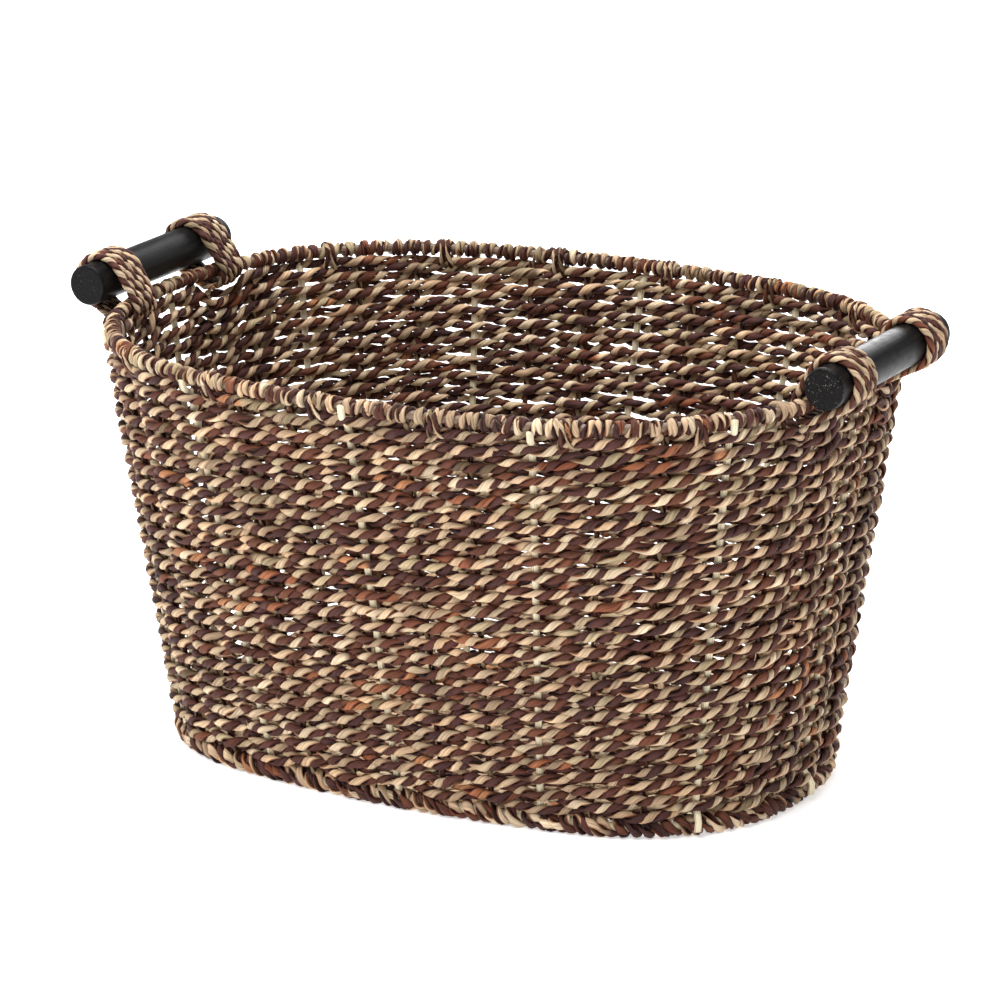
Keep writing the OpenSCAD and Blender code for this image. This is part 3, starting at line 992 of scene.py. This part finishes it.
def hoops():
    """The hoops stay as the CAD has them, inside their wrapping."""
    # The rim hoop's dark browns are painted shade, for a pale cane hoop in the shadow of its wrapping;
    # the foot hoop keeps its pale cane colour
    painted_shade_browns = ((0.10, 0.06, 0.035, 1), (0.20, 0.13, 0.08, 1))
    pale = ((0.46, 0.37, 0.24, 1), (0.60, 0.50, 0.34, 1))
    for node, shades in (("rim_hoop", painted_shade_browns), ("foot_hoop", pale)):
        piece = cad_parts[node]
        g = Graph(node + "_cane")
        where = g.node("ShaderNodeTexCoord").outputs["Object"]
        streaks = g.noise(where, 260.0, 3.0)
        g.feed(g.shader.inputs["Base Color"], g.mix(streaks, *shades))
        g.shader.inputs["Roughness"].default_value = 0.55
        g.bump(streaks, 0.0002)
        for slot in piece.material_slots:
            slot.material = g.material


# --------------------------------------------------------------------- studio
def floor():
    """A wide round floor whose edge curves up into a low wall, all in metres."""
    reach, curve, top = 6.0, 0.4, 1.1
    sides = 96
    turn = np.linspace(0, math.pi / 2, 12)
    radius = np.concatenate([[reach / 2], reach + curve * np.sin(turn), [reach + curve]])
    height = np.concatenate([[0.0], curve * (1 - np.cos(turn)), [top]]) - 0.4 * MM
    theta = np.arange(sides) / sides * TAU
    x = radius[:, None] * np.cos(theta)
    y = radius[:, None] * np.sin(theta)
    verts = np.stack(np.broadcast_arrays(x, y, height[:, None]), -1).reshape(-1, 3)
    faces = [tuple(range(sides))]
    for i in range(len(radius) - 1):
        for k in range(sides):
            k2 = (k + 1) % sides
            faces.append((i * sides + k, (i + 1) * sides + k, (i + 1) * sides + k2, i * sides + k2))
    mesh = bpy.data.meshes.new("floor")
    mesh.from_pydata(verts.tolist(), [], faces)
    mesh.polygons.foreach_set("use_smooth", np.ones(len(faces), bool))
    piece = bpy.data.objects.new("floor", mesh)
    bpy.context.scene.collection.objects.link(piece)
    g = Graph("studio_white")
    g.shader.inputs["Base Color"].default_value = (0.92, 0.92, 0.92, 1)
    g.shader.inputs["Roughness"].default_value = 0.9
    g.shader.inputs["Specular IOR Level"].default_value = 0.1
    g.shader.inputs["Emission Color"].default_value = (1, 1, 1, 1)
    g.shader.inputs["Emission Strength"].default_value = 0.5
    mesh.materials.append(g.material)


# Name, position, what it points at, disk size in metres and power in watts
LIGHTS = (
    ("top", (-0.4, 0.1, 2.6), (0, 0, 0.1), 2.2, 98),
    ("front", (0.2, -2.1, 2.7), (0, 0, 0.15), 1.8, 58),
    ("side", (-2.4, -0.9, 1.3), (0, 0, 0.15), 1.6, 18),
    ("back", (-0.35, 2.0, 0.75), (0, 0, 0.2), 1.2, 28),
)
WORLD_STRENGTH = 0.38


def area_light(name, position, target, size, power):
    """A round soft light that points at the target."""
    light = bpy.data.lights.new(name, "AREA")
    light.shape = "DISK"
    light.size = size
    light.energy = power
    piece = bpy.data.objects.new(name, light)
    bpy.context.scene.collection.objects.link(piece)
    aim = Vector(target) - Vector(position)
    piece.matrix_world = Matrix.Translation(position) @ aim.to_track_quat("-Z", "Y").to_matrix().to_4x4()


def studio():
    """Plain white floor and surroundings, and soft lights."""
    floor()
    world = bpy.data.worlds.new("studio")
    bpy.context.scene.world = world
    world.use_nodes = True
    background = world.node_tree.nodes["Background"]
    background.inputs["Color"].default_value = (1, 1, 1, 1)
    background.inputs["Strength"].default_value = WORLD_STRENGTH
    for light in LIGHTS:
        area_light(*light)
    bpy.context.scene.view_settings.view_transform = "Standard"


# --------------------------------------------------------------------- camera
CAMERA_YAW = math.radians(28.72)
CAMERA_PITCH = math.radians(16.72)
CAMERA_DISTANCE = 3.2122
CAMERA_TARGET = Vector((0, 0, 0.1575))
CAMERA_LENS = 187.2
CAMERA_SHIFT = (-0.0022, 0.0039)


def camera():
    """A long lens that looks a little down on the front and the right end."""
    data = bpy.data.cameras.new("camera")
    data.lens = CAMERA_LENS
    data.sensor_width = 36
    data.shift_x, data.shift_y = CAMERA_SHIFT
    piece = bpy.data.objects.new("camera", data)
    bpy.context.scene.collection.objects.link(piece)
    level = math.cos(CAMERA_PITCH)
    back = Vector((math.sin(CAMERA_YAW) * level, -math.cos(CAMERA_YAW) * level, math.sin(CAMERA_PITCH)))
    place_at = CAMERA_TARGET + back * CAMERA_DISTANCE
    turn = (-back).to_track_quat("-Z", "Y").to_matrix().to_4x4()
    piece.matrix_world = Matrix.Translation(place_at) @ turn
    bpy.context.scene.camera = piece


camera()
weave_wall()
wrapped_border("rim_binding_cord", "rim_binding", rim_z, rim_r, pitch=4.4 * MM, thick=3.8 * MM,
               tall=5.0 * MM, lay=22 * MM, segments=16, lean=0.0, sense=1)
wrapped_border("foot_binding_cord", "foot_binding", foot_z, foot_r, pitch=6.8 * MM, thick=4.6 * MM,
               tall=6.9 * MM, lay=17 * MM, segments=22, lean=1.6 * MM, sense=-1)
lashings()
stakes()
base()
handles()
loose_fibres()
hoops()
studio()
